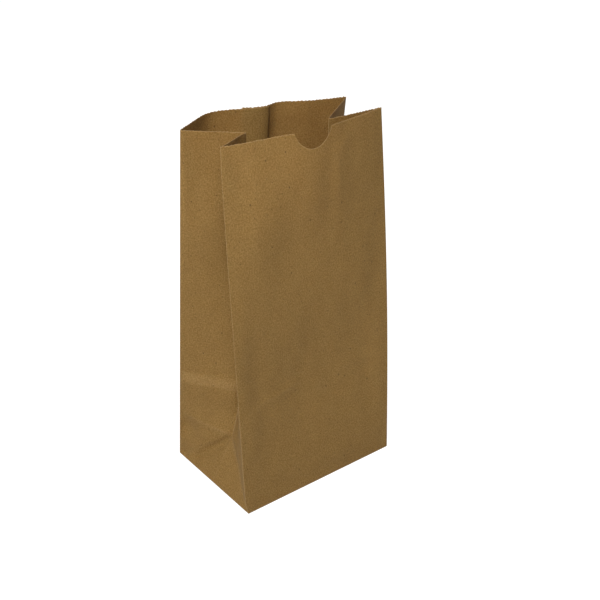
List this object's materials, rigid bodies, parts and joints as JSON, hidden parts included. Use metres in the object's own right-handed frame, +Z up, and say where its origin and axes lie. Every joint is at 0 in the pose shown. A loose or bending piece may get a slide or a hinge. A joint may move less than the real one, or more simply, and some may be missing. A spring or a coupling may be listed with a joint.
{
  "type": "paper bag",
  "caption": "Brown kraft paper bag with gusseted sides, a folded block bottom, a glued back lap and a thumb cut, standing open.",
  "frame": {"origin": "middle of the underside, on the face that the bag stands on", "axes": "+Z up through the open mouth, X along the wide front and back panels, and the front panel with the thumb cut faces -Y"},
  "size_m": [0.1618, 0.103, 0.3102],
  "materials": {
    "kraft_paper": "uncoated natural kraft, matt, with fine fibres and soft creases"
  },
  "bodies": {
    "root": {"paper_bag": "kraft_paper"}
  },
  "joints": []
}
